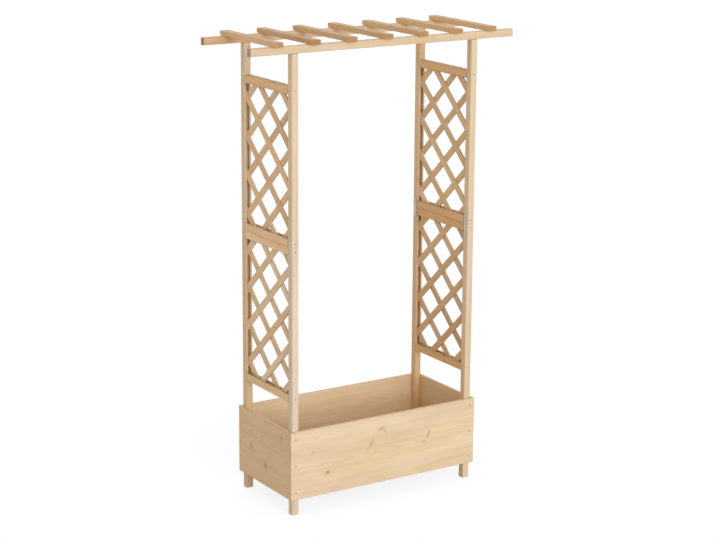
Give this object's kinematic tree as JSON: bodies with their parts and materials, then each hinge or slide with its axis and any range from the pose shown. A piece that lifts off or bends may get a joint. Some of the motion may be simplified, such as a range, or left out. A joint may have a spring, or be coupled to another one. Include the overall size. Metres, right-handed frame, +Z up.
{
  "type": "planter with trellis",
  "caption": "Rectangular softwood planter box on legs with lattice trellis sides and a slatted pergola top.",
  "frame": {"origin": "on the ground, in the middle of the footprint of beams and box", "axes": "+X along the box to the right, +Y from front to rear, +Z up"},
  "size_m": [1.15, 0.4, 1.8],
  "materials": {
    "panel_wood": "planed untreated softwood, matt",
    "post_wood": "planed untreated softwood, matt",
    "beam_wood": "planed untreated softwood, matt",
    "slat_wood": "planed untreated softwood, matt",
    "rail_wood": "planed untreated softwood, matt",
    "lath_wood": "sawn untreated softwood, matt",
    "floor_wood": "sawn untreated softwood, matt",
    "zinc_plate": "zinc plated, satin",
    "screw_steel": "passivated steel, satin"
  },
  "bodies": {
    "root": {"beam_screws": "screw_steel", "cleat_screws": "screw_steel", "floor_board_1": "floor_wood", "floor_board_2": "floor_wood", "floor_board_3": "floor_wood", "floor_board_4": "floor_wood", "floor_board_5": "floor_wood", "floor_board_6": "floor_wood", "floor_screws": "screw_steel", "front_beam": "beam_wood", "front_floor_cleat": "floor_wood", "front_panel": "panel_wood", "left_front_lower_post": "post_wood", "left_front_splice_plate": "zinc_plate", "left_front_upper_post": "post_wood", "left_lower_bottom_rail": "rail_wood", "left_lower_falling_laths": "lath_wood", "left_lower_rising_laths": "lath_wood", "left_lower_top_rail": "rail_wood", "left_panel": "panel_wood", "left_rear_lower_post": "post_wood", "left_rear_splice_plate": "zinc_plate", "left_rear_upper_post": "post_wood", "left_upper_bottom_rail": "rail_wood", "left_upper_falling_laths": "lath_wood", "left_upper_rising_laths": "lath_wood", "left_upper_top_rail": "rail_wood", "panel_screws": "screw_steel", "plate_screws": "screw_steel", "rail_screws": "screw_steel", "rear_beam": "beam_wood", "rear_floor_cleat": "floor_wood", "rear_panel": "panel_wood", "right_front_lower_post": "post_wood", "right_front_splice_plate": "zinc_plate", "right_front_upper_post": "post_wood", "right_lower_bottom_rail": "rail_wood", "right_lower_falling_laths": "lath_wood", "right_lower_rising_laths": "lath_wood", "right_lower_top_rail": "rail_wood", "right_panel": "panel_wood", "right_rear_lower_post": "post_wood", "right_rear_splice_plate": "zinc_plate", "right_rear_upper_post": "post_wood", "right_upper_bottom_rail": "rail_wood", "right_upper_falling_laths": "lath_wood", "right_upper_rising_laths": "lath_wood", "right_upper_top_rail": "rail_wood", "slat_screws": "screw_steel", "top_slat_1": "slat_wood", "top_slat_2": "slat_wood", "top_slat_3": "slat_wood", "top_slat_4": "slat_wood", "top_slat_5": "slat_wood", "top_slat_6": "slat_wood", "top_slat_7": "slat_wood"}
  },
  "joints": []
}
